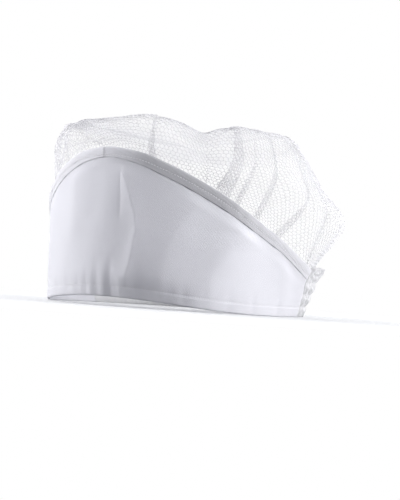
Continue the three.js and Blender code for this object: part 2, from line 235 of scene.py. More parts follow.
def cloth(name, colour, pitch, slant, depth, glow, rough=0.88, sheen=0.12, along=None, weave_painted_shade=0.16):
    """Woven cloth: slanting ribs with a cross thread, soft mottling and some light let through.
    pitch is the rib spacing in mm, slant the rib's angle, depth the height of the weave in mm.
    along is a list of (mm along the cloth, tone) where the tone changes lengthwise, which paints shade along the cloth;
    the last argument sets how strongly the weave's hollows are painted darker, a painted shade in the weave."""
    m, t, add = nodes_of(name)
    link = t.links.new
    uv = add("ShaderNodeUVMap", uv_map="cloth")
    turn = add("ShaderNodeMapping")
    turn.inputs["Rotation"].default_value[2] = math.radians(slant)
    link(uv.outputs["UV"], turn.inputs["Vector"])
    ribs = add("ShaderNodeTexWave", wave_type="BANDS", bands_direction="X", wave_profile="SIN")
    ribs.inputs["Scale"].default_value = math.pi / (10 * pitch) * 2
    ribs.inputs["Distortion"].default_value = 0.6
    ribs.inputs["Detail"].default_value = 2
    ribs.inputs["Detail Scale"].default_value = 1.5
    link(turn.outputs["Vector"], ribs.inputs["Vector"])
    cross = add("ShaderNodeTexWave", wave_type="BANDS", bands_direction="Y", wave_profile="SIN")
    cross.inputs["Scale"].default_value = math.pi / (10 * pitch) * 2.6
    cross.inputs["Distortion"].default_value = 0.5
    link(turn.outputs["Vector"], cross.inputs["Vector"])
    fuzz = add("ShaderNodeTexNoise")
    fuzz.inputs["Scale"].default_value = 2.2
    fuzz.inputs["Detail"].default_value = 4
    link(uv.outputs["UV"], fuzz.inputs["Vector"])
    a = add("ShaderNodeMath", operation="MULTIPLY_ADD")
    link(cross.outputs["Fac"], a.inputs[0]); a.inputs[1].default_value = 0.35
    link(ribs.outputs["Fac"], a.inputs[2])
    b = add("ShaderNodeMath", operation="MULTIPLY_ADD")
    link(fuzz.outputs["Fac"], b.inputs[0]); b.inputs[1].default_value = 0.7
    link(a.outputs["Value"], b.inputs[2])
    bump = add("ShaderNodeBump")
    bump.inputs["Strength"].default_value = 0.55
    bump.inputs["Distance"].default_value = depth / 1000
    link(b.outputs["Value"], bump.inputs["Height"])
    mottle = add("ShaderNodeTexNoise")
    mottle.inputs["Scale"].default_value = 0.035
    mottle.inputs["Detail"].default_value = 3
    link(uv.outputs["UV"], mottle.inputs["Vector"])
    low = [c * 0.955 for c in colour[:3]]
    mix = add("ShaderNodeMix", data_type="RGBA")
    mix.inputs["A"].default_value = (*low, 1)
    mix.inputs["B"].default_value = (*colour[:3], 1)
    link(mottle.outputs["Fac"], mix.inputs["Factor"])
    # painted shade: the colour is darkened where the weave's height is low
    dim = add("ShaderNodeMix", data_type="RGBA", blend_type="MULTIPLY")
    dim.inputs["Factor"].default_value = weave_painted_shade
    ramp = add("ShaderNodeMapRange")
    ramp.inputs["From Min"].default_value = 0.2
    ramp.inputs["From Max"].default_value = 1.6
    ramp.inputs["To Min"].default_value = 0.55
    ramp.inputs["To Max"].default_value = 1.0
    link(b.outputs["Value"], ramp.inputs["Value"])
    link(mix.outputs["Result"], dim.inputs["A"])
    link(ramp.outputs["Result"], dim.inputs["B"])
    paint = dim.outputs["Result"]
    if along is not None:
        a0, a1 = along[0][0], along[-1][0]
        axes = add("ShaderNodeSeparateXYZ")
        link(uv.outputs["UV"], axes.inputs["Vector"])
        share = add("ShaderNodeMapRange")
        share.inputs["From Min"].default_value = a0
        share.inputs["From Max"].default_value = a1
        link(axes.outputs["X"], share.inputs["Value"])
        tone = add("ShaderNodeValToRGB")
        stops = tone.color_ramp.elements
        stops[0].position, stops[1].position = 0, 1
        stops[0].color = (along[0][1], along[0][1], along[0][1], 1)
        stops[1].color = (along[-1][1], along[-1][1], along[-1][1], 1)
        for where, value in along[1:-1]:
            stops.new((where - a0) / (a1 - a0)).color = (value, value, value, 1)
        link(share.outputs["Result"], tone.inputs["Fac"])
        toned = add("ShaderNodeMix", data_type="RGBA", blend_type="MULTIPLY")
        toned.inputs["Factor"].default_value = 1.0
        link(paint, toned.inputs["A"])
        link(tone.outputs["Color"], toned.inputs["B"])
        paint = toned.outputs["Result"]
    bsdf = add("ShaderNodeBsdfPrincipled")
    bsdf.inputs["Roughness"].default_value = rough
    bsdf.inputs["Specular IOR Level"].default_value = 0.25
    bsdf.inputs["Sheen Weight"].default_value = sheen
    bsdf.inputs["Sheen Roughness"].default_value = 0.6
    link(paint, bsdf.inputs["Base Color"])
    link(bump.outputs["Normal"], bsdf.inputs["Normal"])
    through = add("ShaderNodeBsdfTranslucent")
    link(paint, through.inputs["Color"])
    link(bump.outputs["Normal"], through.inputs["Normal"])
    both = add("ShaderNodeMixShader")
    both.inputs["Fac"].default_value = glow
    link(bsdf.outputs["BSDF"], both.inputs[1])
    link(through.outputs["BSDF"], both.inputs[2])
    out = add("ShaderNodeOutputMaterial")
    link(both.outputs["Shader"], out.inputs["Surface"])
    return m


def thread(name, colour, glow, rough=0.5, far=None):
    """Twisted yarn: fine lengthwise mottling and a little light let through.
    far is the colour and glow that the yarn takes over the top and toward the back; the whiter colour there is painted
    light."""
    m, t, add = nodes_of(name)
    link = t.links.new
    pos = add("ShaderNodeTexCoord")
    n = add("ShaderNodeTexNoise")
    n.inputs["Scale"].default_value = 2500
    n.inputs["Detail"].default_value = 2
    link(pos.outputs["Object"], n.inputs["Vector"])
    big = add("ShaderNodeTexNoise")
    big.inputs["Scale"].default_value = 60
    link(pos.outputs["Object"], big.inputs["Vector"])
    mix = add("ShaderNodeMix", data_type="RGBA")
    mix.inputs["A"].default_value = (*[c * 0.93 for c in colour], 1)
    mix.inputs["B"].default_value = (*colour, 1)
    link(big.outputs["Fac"], mix.inputs["Factor"])
    bump = add("ShaderNodeBump")
    bump.inputs["Strength"].default_value = 0.4
    bump.inputs["Distance"].default_value = 0.00008
    link(n.outputs["Fac"], bump.inputs["Height"])
    bsdf = add("ShaderNodeBsdfPrincipled")
    bsdf.inputs["Roughness"].default_value = rough
    bsdf.inputs["Specular IOR Level"].default_value = 0.35
    through = add("ShaderNodeBsdfTranslucent")
    both = add("ShaderNodeMixShader")
    both.inputs["Fac"].default_value = glow
    paint = mix.outputs["Result"]
    # painted light: over the top and toward the back the yarn is painted whiter, so those threads look brightly lit
    if far is not None:
        where = add("ShaderNodeMapping")
        where.inputs["Scale"].default_value = (1000 / HALF_W, 1000 / HALF_L, 0)
        where.inputs["Location"].default_value = (CENTRE[0] / HALF_W, CENTRE[1] / HALF_L, 0)
        link(pos.outputs["Object"], where.inputs["Vector"])
        size = add("ShaderNodeVectorMath", operation="LENGTH")
        link(where.outputs["Vector"], size.inputs[0])
        top = add("ShaderNodeMapRange", interpolation_type="SMOOTHSTEP")
        top.inputs["From Min"].default_value = FAR_TOP[1]
        top.inputs["From Max"].default_value = FAR_TOP[0]
        link(size.outputs["Value"], top.inputs["Value"])
        axes = add("ShaderNodeSeparateXYZ")
        link(pos.outputs["Object"], axes.inputs["Vector"])
        back = add("ShaderNodeMapRange", interpolation_type="SMOOTHSTEP")
        back.inputs["From Min"].default_value = (FAR_BACK[0] - CENTRE[1]) / 1000
        back.inputs["From Max"].default_value = (FAR_BACK[1] - CENTRE[1]) / 1000
        link(axes.outputs["Y"], back.inputs["Value"])
        most = add("ShaderNodeMath", operation="MAXIMUM")
        link(top.outputs["Result"], most.inputs[0])
        link(back.outputs["Result"], most.inputs[1])
        shade = add("ShaderNodeMix", data_type="RGBA")
        shade.inputs["B"].default_value = (*far[0], 1)
        link(most.outputs["Value"], shade.inputs["Factor"])
        link(mix.outputs["Result"], shade.inputs["A"])
        paint = shade.outputs["Result"]
        more = add("ShaderNodeMapRange")
        more.inputs["To Min"].default_value = glow
        more.inputs["To Max"].default_value = far[1]
        link(most.outputs["Value"], more.inputs["Value"])
        link(more.outputs["Result"], both.inputs["Fac"])
    link(paint, bsdf.inputs["Base Color"])
    link(bump.outputs["Normal"], bsdf.inputs["Normal"])
    link(paint, through.inputs["Color"])
    link(bsdf.outputs["BSDF"], both.inputs[1])
    link(through.outputs["BSDF"], both.inputs[2])
    out = add("ShaderNodeOutputMaterial")
    link(both.outputs["Shader"], out.inputs["Surface"])
    return m


TWILL = cloth("twill_white", (0.82, 0.819, 0.866), 1.3, 52, 0.3, 0.26, weave_painted_shade=0.34)
# painted shade: the strip's tone is darkened along its length where shade falls on it, darkest across the front toward
# +X, with a painted dark line in the seam's notch
STRIP_MM_PER_DEG = 1.15 * 1.58
STRIP = cloth("twill_strip", (0.80, 0.797, 0.845), 0.7, 20, 0.14, 0.06, along=[
    (-98 * STRIP_MM_PER_DEG, 0.86), (-30 * STRIP_MM_PER_DEG, 0.87), (-3.25 * STRIP_MM_PER_DEG, 0.96), (-2.9 * STRIP_MM_PER_DEG, 0.55), (-2.5 * STRIP_MM_PER_DEG, 0.55),
    (-2.2 * STRIP_MM_PER_DEG, 0.93), (5 * STRIP_MM_PER_DEG, 0.92), (11 * STRIP_MM_PER_DEG, 0.80), (18 * STRIP_MM_PER_DEG, 0.65), (33 * STRIP_MM_PER_DEG, 0.60), (50 * STRIP_MM_PER_DEG, 0.56),
    (68 * STRIP_MM_PER_DEG, 0.65), (83 * STRIP_MM_PER_DEG, 0.75), (98 * STRIP_MM_PER_DEG, 0.81)])
SHIRR = cloth("band_cloth", (0.82, 0.82, 0.835), 0.5, 0, 0.12, 0.5)
FAR_TOP = (0.72, 0.92)     # shares of the rim's outline between which the top of the net begins
FAR_BACK = (40.0, 80.0)    # mm behind the rim's middle between which the back of the net begins
# painted light: the yarn over the top and toward the back is painted whiter
YARN = thread("net_yarn", (0.86, 0.857, 0.875), 0.48, far=((0.93, 0.929, 0.94), 0.56))
SEWING = thread("sewing_thread", (0.82, 0.82, 0.84), 0.05, 0.45)

# -------------------------------------------------------------------- the wall
# ridges and valleys of the front: path as (angle, height), rise in mm,
# half width in mm on the side of smaller angles and of larger angles,
# and how sharp the line is (0 soft, 1 pressed in)
WALL_FOLDS = [
    ([(6.0, 90), (6.5, 74), (6.8, 58)], -0.4, 2.4, 2.4, 1),     # pressed crease below the seam
    ([(6.8, 88), (10.4, 74), (14.2, 58), (15.4, 50), (14.6, 42), (13.4, 30), (12, 20)], 1.9, 6.6, 9.0, 1),  # right edge of the light wedge
    ([(-21, 94), (-20, 70), (-19, 50)], 0.9, 9.0, 9.0, 0),
    ([(-6, 88), (-7, 60)], -0.5, 7.0, 7.0, 0),
    ([(27, 20), (28, 36), (33.5, 53), (43, 72)], 1.0, 11.0, 14.0, .6),
    ([(46, 2), (48, 22), (54.5, 40), (63, 51)], 1.9, 18.0, 17.0, .55),
    ([(-42, 60), (-46, 24)], 0.7, 9.0, 9.0, 0),
    ([(84, 36), (88, 12)], 0.6, 8.0, 8.0, 0),
    ([(-84, 36), (-88, 12)], 0.8, 8.0, 8.0, 0),
    ([(-62, 52), (-66, 14)], -0.7, 9.0, 9.0, 0),
]
# puckers that rise from the hem's stitching: angle, half width in mm, depth, top height
PUCKERS = [
    (-14, 3.2, 0.3, 22), (-9, 2.8, 0.45, 24), (-3.2, 3.8, 0.75, 27), (3.8, 4.4, 1.45, 31), (6.8, 2.0, 0.35, 20),
    (16.5, 8.5, 2.3, 31), (23.5, 6.0, 1.3, 25), (30.5, 4.4, 0.5, 21), (37, 3.4, 0.35, 18), (-21, 4.4, 0.3, 20),
    (-31, 3.2, 0.25, 17), (46, 3.4, 0.25, 18), (-42, 4.4, 0.3, 19), (57, 3.6, 0.25, 20), (-55, 3.2, 0.25, 17),
    (69, 3.0, 0.25, 17), (-70, 3.6, 0.3, 19), (84, 3.0, 0.3, 16), (-83, 3.0, 0.3, 16),
]
HEM_TURN = np.array([[-75, 0], [-40, .5], [-15, 1.6], [0, 3.2], [10, 4.2], [22, 4.0], [32, 2.6], [42, 1.4], [55, .7], [80, 0]], float)
MM_PER_DEG = 1.58


def path_ridge(deg, z, path, left, right, sharp):
    """1 on the path, falling away smoothly on either side of it and past its ends."""
    p = np.array(path, float)
    p = p[np.argsort(p[:, 1])]
    gap = deg * MM_PER_DEG - np.interp(z, p[:, 1], p[:, 0] * MM_PER_DEG)
    past = np.maximum(p[0, 1] - z, 0) + np.maximum(z - p[-1, 1], 0)
    x = gap / np.where(gap < 0, left, right)
    roof = np.exp(-1.1 * (np.sqrt(x * x + 0.012) - math.sqrt(0.012)) - 0.5 * x * x)
    return (sharp * roof + (1 - sharp) * np.exp(-x * x)) * np.exp(-(past / (0.5 * (left + right))) ** 2)


def wall_out(deg, z):
    """How far the middle of the front's cloth stands out from the rim line."""
    deg, z = np.broadcast_arrays(np.asarray(deg, float), np.asarray(z, float))
    low, high = hem(deg), edge(deg)
    above = z - low
    o = lean(deg) * z
    o -= read(HEM_TURN, deg)[..., 0] * 1.3 * (1 - smooth(-9, 16.5, above))
    flat = (1 - smooth(high - 17, high - 9, z)) # the bound edge is even
    f = np.zeros_like(o)
    for path, rise, left, right, sharp in WALL_FOLDS:
        f += rise * path_ridge(deg, z, path, left, right, sharp)
    for where, half, depth, top in PUCKERS:
        rise = np.clip((top - above) / (top - HEM_STITCH), 0, 1)        # 1 at the stitching, 0 at the top
        x = (deg - where) * MM_PER_DEG / (half * (0.45 + 0.55 * np.minimum(rise, 1)))
        f -= depth * 1.25 * np.exp(-x * x) * np.minimum(rise, 1) ** 1.7 * (0.92 + 0.08 * smooth(0, HEM_STITCH, above))
    return o + f * flat


# ------------------------------------------------------------------ front panel
def front_panel():
    cols = 420
    s = np.linspace(-1, 1, cols + 1)[:, None]
    h = np.concatenate([np.linspace(0, 0.22, 26), np.linspace(0.22, 1, 56)[1:]])[None, :]
    end_top = edge(END_TOP) - BINDING_THICK - GAP
    deg = s * end_angle(h * end_top)
    high = edge(s * END_TOP) - BINDING_THICK - GAP
    z = hem(deg) + (high - hem(deg)) * h
    o = wall_out(deg, z)
    above = z - hem(deg)
    # the hem is a fold: thicker up to its stitching, which pulls it in
    groove = np.exp(-((above - HEM_STITCH) / 0.55) ** 2)
    ripple = 0.5 + 0.5 * np.cos(2 * np.pi * deg * MM_PER_DEG / 3.4)
    turned = 0.28 * (1 - smooth(HEM_STITCH - 0.6, HEM_STITCH + 0.9, above))
    small = 0.10 * noise1(deg + 0.1 * z, 3, 200, 9, 3) * np.cos(z / 17 + 0.03 * deg) * smooth(4, 12, above) * (1 - smooth(high - 14, high - 9, z))
    round_ = 0.45 * (1 - np.sqrt(np.clip(1 - (1 - np.clip(above / 0.9, 0, 1)) ** 2, 0, 1)))
    outer = o + PANEL_THICK / 2 + turned - groove * (0.22 + 0.12 * ripple) + small - round_
    inner = o - PANEL_THICK / 2 - turned + groove * 0.2 + small + round_
    P = np.concatenate([at(deg, outer, z), at(deg, inner, z)[:, ::-1]], 1)
    return sweep("front_panel_cloth", P, s[:, 0] * END_LOW * MM_PER_DEG, TWILL)


# ------------------------------------------------------------------ top binding
SEAM_AT = -2.4


def top_binding():
    cols = 640
    deg = np.sort(np.concatenate([np.linspace(-END_TOP, END_TOP, cols + 1), SEAM_AT + np.linspace(-1.2, 0.6, 37)]))[:, None]
    top = edge(deg)
    drop = read(BINDING_DROP, front(deg))[..., 0]
    face = PANEL_THICK / 2 + 0.06
    back = face + 0.62
    k = np.linspace(0, 1, 12)
    # outer loop: up the outside, over the fold and down the inside
    arc = np.linspace(0, np.pi, 13)
    ones = np.ones_like(deg)
    oo = np.concatenate([back * ones * np.ones(12), back * np.cos(arc)[None, 1:-1] * ones, -back * ones * np.ones(9)], 1)
    zz = np.concatenate([-drop * (1 - k) - 1.1 * k, (-1.1 + 1.1 * np.sin(arc)[None, 1:-1]) * ones,
                         -1.1 - (BINDING_INNER_DROP - 1.1) * np.linspace(0, 1, 9)[None, :] * ones], 1)
    inner_o = np.concatenate([-face * ones * np.ones(9), face * np.cos(arc[::-1])[None, 1:-1] * ones, face * ones * np.ones(12)], 1)
    inner_z = np.concatenate([-BINDING_INNER_DROP + (BINDING_INNER_DROP - 1.1) * np.linspace(0, 1, 9)[None, :] * ones,
                              (-1.1 + 0.3 * np.sin(arc)[None, 1:-1]) * ones, -1.1 * (1 - k) - drop * k], 1)
    # relief of the outer faces: stitch groove, puff between, the strip's lap
    g = np.exp(-((zz + BIND_STITCH) / 0.6) ** 2)
    ripple = 0.5 + 0.5 * np.cos(2 * np.pi * deg * MM_PER_DEG * 1.15 / 2.0)
    lap = 0.42 * smooth(-0.25, 0.1, deg - SEAM_AT) * (1 - smooth(3.5, 13.0, deg - SEAM_AT))
    notch = -0.42 * np.exp(-((deg - SEAM_AT + 0.3) / 0.22) ** 2)
    puff = 0.07 * np.sin(np.pi * np.clip((zz + drop) / np.maximum(drop - BIND_STITCH, 0.5), 0, 1)) * (zz < -BIND_STITCH)
    wob = 0.12 * noise1(deg, 11, 60, 12, 4) + 0.1 * noise1(deg + 3 * zz, 12, 25, 6, 2)
    sign = np.sign(oo)
    oo = oo + sign * (-g * (0.2 + 0.12 * ripple) + (lap + notch) * smooth(-drop - 1, -drop + 1, zz) + puff + wob * smooth(0, 1.0, -zz))
    oo = np.where(oo > face, face + 0.08 + (oo - face - 0.08) * smooth(-drop - 1.5, -drop + 6.2, zz), oo)
    zz = zz + np.where(np.arange(zz.shape[1])[None, :] == 0, 0.15 * noise1(deg, 13, 40, 8, 3), 0)
    O = np.concatenate([oo, inner_o], 1)
    Z = np.concatenate([zz, inner_z], 1)
    z = top + Z
    P = at(deg, wall_out(deg, np.minimum(z, top)) + O, z)
    return sweep("top_binding_strip", P, deg[:, 0] * MM_PER_DEG * 1.15, STRIP)


# --------------------------------------------------------------------- the net
def net_base(deg):
    a = front(deg)
    w = smooth(98.5, 104, a)
    tuck = -(PANEL_THICK / 2 + GAP + BINDING_THICK + GAP + 0.6 + 0.3)
    top, band = edge(a), read(BAND_TOP, a)[..., 0]
    low = (top - NET_TUCK) * (1 - w) + (band - NET_TUCK * 0.7) * w
    neck = (top + 2.2) * (1 - w) + (band + 3) * w
    ln = lean(a) * (1 - w) + BAND_LEAN * w
    return low, neck, ln * low + tuck, ln * neck + tuck - 0.8 * w


def meridian(deg, t):
    """The net's middle surface without its puffs."""
    deg, t = np.broadcast_arrays(np.asarray(deg, float), np.asarray(t, float))
    low, neck, out_low, out_neck = net_base(deg)
    rows = read_round(NET, deg)
    st = [at(deg, out_low, low), at(deg, out_neck, neck)] + [at(deg, rows[..., 2 * k], rows[..., 2 * k + 1]) for k in range(4)]
    st.append(np.broadcast_to(APEX, st[0].shape))
    V = np.stack(st, -2)
    K = STATIONS
    m = np.zeros_like(V)
    m[..., 1:-1, :] = (V[..., 2:, :] - V[..., :-2, :]) / (K[2:] - K[:-2])[:, None]
    i = np.clip(np.searchsorted(K, t, side="right") - 1, 0, len(K) - 2)
    h = (K[i + 1] - K[i])[..., None]
    u = ((t - K[i]) / (K[i + 1] - K[i]))[..., None]

    def pick(W, j):
        return np.take_along_axis(W, j[..., None, None], -2)[..., 0, :]
    return ((2 * u**3 - 3 * u**2 + 1) * pick(V, i) + (u**3 - 2 * u**2 + u) * h * pick(m, i)
            + (-2 * u**3 + 3 * u**2) * pick(V, i + 1) + (u**3 - u**2) * h * pick(m, i + 1))


N_CREASE = len(CREASES)


def fold_sizes(t):
    """Cloth folded over at each crease (degrees) at a share of the way up."""
    t = np.asarray(t, float)[..., None]
    return CREASES[:, 3] * (1 - smooth(0.04, 1, t / CREASES[:, 4])) + 1e-3


def crease_places(t):
    k = smooth(0, 0.45, np.asarray(t, float))[..., None]
    return CREASES[:, 0] * (1 - k) + CREASES[:, 1] * k


def path_knots(t):
    """Where each crease lies along the cloth's own circumference (degrees of the cap)."""
    P, f = crease_places(t), fold_sizes(t)
    before = np.cumsum(2 * f, -1) - 2 * f
    K = P - P[..., :1] + before + f
    whole = 360 + 2 * f.sum(-1)
    return P, f, np.concatenate([K, K[..., :1] + whole[..., None]], -1)


_, _, _ref = path_knots(np.array(0.2))
CUT = (_ref - _ref[0]) / (_ref[-1] - _ref[0]) * 360


def bend(u):
    return u / (1 + u ** 4) ** 0.25


def net_point(theta, t):
    """theta is the angle in the net's flat cut; the folds take it to the angle on the cap."""
    theta, t = np.broadcast_arrays(np.asarray(theta, float) % 360, np.asarray(t, float))
    P, f, K = path_knots(t)
    i = np.clip(np.searchsorted(CUT, theta, side="right") - 1, 0, N_CREASE - 1)
    j = (i + 1) % N_CREASE
    s = (theta - CUT[i]) / (CUT[i + 1] - CUT[i])

    def of(A, k):
        return np.take_along_axis(A, k[..., None], -1)[..., 0]
    Ki, Kj = of(K, i), of(K, i + 1)
    fi, fj = of(f, i), of(f, j)
    run = Ki + s * (Kj - Ki)
    xl, xr = run - Ki, run - Kj
    sl, sr = bend(2 * xl / fi), bend(2 * xr / fj)
    deg = of(P, i) + xl - fi * sl - fj * (sr + 1)
    arch = np.sqrt(np.sin(np.pi * s) ** 2 + 0.006) - 0.62
    reach = smooth(0.05, 0.3, t) * (0.35 + 0.65 * (1 - smooth(0.32, 0.6, t))) * (1 - smooth(0.55, 0.8, t))
    gap = of(P, j) + np.where(j == 0, 360, 0) - of(P, i)
    amount = arch * PUFF * np.clip(gap / 17, 0.45, 1.4) * CREASES[i, 2] * reach
    high = np.clip(fi, 0, 1) * CREASES[i, 5] * sl * np.exp(-(xl / (1.3 * fi + 1.5)) ** 2)
    high = high + np.clip(fj, 0, 1) * CREASES[j, 5] * sr * np.exp(-(xr / (1.3 * fj + 1.5)) ** 2)
    amount = amount + 0.9 * high * smooth(0.0, 0.10, t)
    p = meridian(deg, t)
    up = 0.9 * smooth(0.2, 0.6, t)
    q = np.hypot(1, up)
    r = np.hypot(p[..., 0], p[..., 1]) + 1e-6
    return np.stack([p[..., 0] * (1 + amount / q / r), p[..., 1] * (1 + amount / q / r), p[..., 2] + amount * up / q], -1)


NET_COLUMNS = 240       # cells round the sides of the net
NET_ROW = 2.55          # height of a row of cells on the sides, mm
NET_SHOULDER = 0.46     # share of the way up where the even columns give way to the flat top lattice
NET_THREAD = (0.37, 0.22)   # thread width on the front's sides and over the top and back, mm


def net_crown():
    """Hexagonal knitted net: even columns round the sides, an even lattice over the top.
    Cell middles are laid out on a flat disc, triangulated, and the threads are the
    edges of the cells around them; each thread has a four-sided section."""
    from mathutils.geometry import delaunay_2d_cdt
    g = np.random.default_rng(21)
    ang = np.linspace(0, 360, 181)
    # arc length from the apex down each meridian, then from the shoulder to the base
    tt = np.linspace(1, 0.012, 260)
    M = meridian(ang[:, None], tt[None, :])
    arc = np.concatenate([np.zeros((len(ang), 1)), np.cumsum(np.linalg.norm(np.diff(M, axis=1), axis=-1), 1)], 1)
    shoulder = np.array([np.interp(-NET_SHOULDER, -tt, row) for row in arc])
    side = arc[:, -1] - shoulder
    rows = int(np.ceil(side.max() / NET_ROW)) + 1
    R = NET_COLUMNS / (2 * np.pi)
    grow = 2 * np.pi * math.sqrt(0.75) / NET_COLUMNS

    # seeds: triangular lattice on top, staggered rings round the sides
    n = int(R) + 2
    a, b = np.meshgrid(np.arange(-n, n + 1), np.arange(-int(n / .866) - 1, int(n / .866) + 2))
    lx, ly = (a + 0.5 * (b % 2)).ravel().astype(float), (b * math.sqrt(0.75)).ravel()
    keep = np.hypot(lx, ly) < R - 0.62
    seeds = [np.stack([lx[keep], ly[keep]], -1)]
    for k in range(rows + 2):
        th = (np.arange(NET_COLUMNS) + 0.5 * (k % 2)) * 2 * np.pi / NET_COLUMNS
        r = R * math.exp(grow * k)
        seeds.append(np.stack([r * np.sin(th), -r * np.cos(th)], -1))
    seeds = np.concatenate(seeds)
    seeds = seeds + g.normal(0, 0.03, seeds.shape)
    out = delaunay_2d_cdt([tuple(map(float, p)) for p in seeds], [], [], 0, 1e-6)
    V = np.array([tuple(v) for v in out[0]])
    T = np.array([f for f in out[2] if len(f) == 3])
    area2 = np.cross(V[T[:, 1]] - V[T[:, 0]], V[T[:, 2]] - V[T[:, 0]])
    T[area2 < 0] = T[area2 < 0][:, ::-1]
    mid2 = V[T].mean(1)

    def place(x, y):
        """Share of the way up and cut angle of a point of the flat disc."""
        r = np.hypot(x, y)
        th = np.degrees(np.arctan2(x, -y)) % 360
        f = th / 2.0
        i0 = np.clip(f.astype(int), 0, 179)
        w = f - i0
        k = np.log(np.maximum(r, 1e-6) / R) / grow          # rows below the shoulder
        t, past = np.zeros_like(r), np.zeros_like(r)
        for q, share in ((i0, 1 - w), (i0 + 1, w)):
            s_at = np.where(r < R, shoulder[q] * r / R, shoulder[q] + k * NET_ROW)
            past += share * (s_at - arc[q, -1])
            pos = np.empty_like(r)
            for m in np.unique(q):
                pick = q == m
                pos[pick] = np.interp(s_at[pick], arc[m], tt)
            t += share * pos
        return th, t, past

    # cells: the triangles round each seed that has a whole ring of them
    corner = [[] for _ in range(len(V))]
    for n_t, tri in enumerate(T.tolist()):
        for v in tri:
            corner[v].append(n_t)
    limit = R * math.exp(grow * (rows + 0.6))
    radius = np.hypot(V[:, 0], V[:, 1])
    past = place(V[:, 0], V[:, 1])[2]
    cells = []
    for v, ring in enumerate(corner):
        if radius[v] > limit or past[v] > 0.3 * NET_ROW or len(ring) < 4:
            continue
        d = mid2[ring] - V[v]
        cells.append([ring[q] for q in np.argsort(np.arctan2(d[:, 1], d[:, 0]))])
    sizes = np.array([len(c) for c in cells])
    flat = np.concatenate([np.array(c) for c in cells])
    first = np.concatenate([[0], np.cumsum(sizes)[:-1]])
    cell_of = np.repeat(np.arange(len(cells)), sizes)
    nxt = np.arange(len(flat)) + 1
    nxt[first + sizes - 1] = first
    used, flat = np.unique(flat, return_inverse=True)
    P2 = mid2[used] + g.normal(0, 0.025, (len(used), 2))

    th, t, _ = place(P2[:, 0], P2[:, 1])
    mid = net_point(th, t)
    e = 0.12
    th1, t1, _ = place(P2[:, 0] + e, P2[:, 1])
    th2, t2, _ = place(P2[:, 0], P2[:, 1] + e)
    nrm = np.cross(net_point(th1, t1) - mid, net_point(th2, t2) - mid)
    nrm /= np.linalg.norm(nrm, axis=1, keepdims=True) + 1e-9
    far = np.maximum(1 - smooth(*FAR_TOP, np.hypot(mid[:, 0] / HALF_W, mid[:, 1] / HALF_L)), smooth(*FAR_BACK, mid[:, 1]))
    wide = NET_THREAD[0] + (NET_THREAD[1] - NET_THREAD[0]) * far
    high = mid + nrm * wide[:, None] * 0.5
    low = mid - nrm * wide[:, None] * 0.5
    n0 = len(mid)
    C = np.zeros((len(cells), 3))
    np.add.at(C, cell_of, mid[flat])
    C /= sizes[:, None]
    to_c = C[cell_of] - mid[flat]
    dist = np.linalg.norm(to_c, axis=-1, keepdims=True)
    H = mid[flat] + to_c * np.minimum(wide[flat][:, None] * 0.5 / math.cos(math.pi / 6) / np.maximum(dist, 1e-6), 0.42)
    hid = 2 * n0 + np.arange(len(H))
    a, b, ha, hb = flat, flat[nxt], hid, hid[nxt]
    top = np.stack([a, b, hb, ha], -1)
    bottom = np.stack([b + n0, a + n0, ha, hb], -1)
    pairs = set(zip(a.tolist(), b.tolist()))
    lone = np.array([(p, q) for p, q in zip(a.tolist(), b.tolist()) if (q, p) not in pairs], int)
    rim = np.stack([lone[:, 1], lone[:, 0], lone[:, 0] + n0, lone[:, 1] + n0], -1)
    print("net cells", len(cells), "threads", len(flat) // 2, "rows", rows,
          "other than six-sided", int((sizes != 6).sum()), "mean thread mm", np.linalg.norm(mid[a] - mid[b], axis=1).mean())
    return np.concatenate([high, low, H]), top, bottom, rim, cell_of, C


# --------------------------------------------------------------- the rear band
BAND_ROWS_AT = (7.0, 15.0, 23.0)   # heights of the elastic rows


def rear_band():
    cols = 1080
    s = np.linspace(0, 1, cols + 1)[:, None]
    shares = np.linspace(0, 1, 40)[None, :]
    end = end_angle(shares * read(BAND_TOP, np.array(END_TOP))[0])
    margin = GAP / (math.radians(1) * HALF_W) * 1.3
    first = end + margin
    deg = first + (360 - 2 * first) * s
    height = read(BAND_TOP, front(deg))[..., 0]
    z = height * shares
    # uneven gathers: their phase runs faster and slower along the band
    flow = s * 52 + 0.9 * noise1(s * 360, 31, 360, 10, 3) + 0.25 * noise1(s * 360 + 2.2 * z, 32, 90, 6, 2)
    f1 = 0.5 - 0.5 * np.cos(2 * np.pi * flow)
    f2 = 0.5 - 0.5 * np.cos(2 * np.pi * (flow * 1.73 + 0.3))
    size = 0.75 + 0.25 * noise1(s * 360, 33, 360, 16, 5)
    fold = (0.68 * f1 ** 0.8 + 0.32 * f2) * size
    pull = sum(np.exp(-((z - r) / 1.7) ** 2) for r in BAND_ROWS_AT)
    belly = 1 - np.clip(pull, 0, 1)
    ends = smooth(0, 0.012, s) * smooth(0, 0.012, 1 - s)
    ruffle = smooth(0.80, 1.0, shares)
    out = BAND_LEAN * z + 0.5 + (0.75 + 1.25 * belly) * fold * ends + 0.4 * belly + 1.6 * ruffle * fold * ends
    sway = 0.8 * noise1(s * 360, 34, 40, 8, 3) * ruffle
    inner = BAND_LEAN * z - 1.0 + 0.35 * fold * belly * ends
    zo = z + 0.7 * ruffle * noise1(s * 360, 35, 30, 8, 2) * ends
    inn = np.linspace(39, 0, 40).astype(int)
    P = np.concatenate([at(deg, out + sway, zo), at(deg, (inner + sway), zo)[:, inn]], 1)
    P[..., 2] = np.maximum(P[..., 2], 0)
    obj = sweep("rear_band_cloth", P, (s[:, 0] * 155) * MM_PER_DEG * 1.4, SHIRR)
    return obj


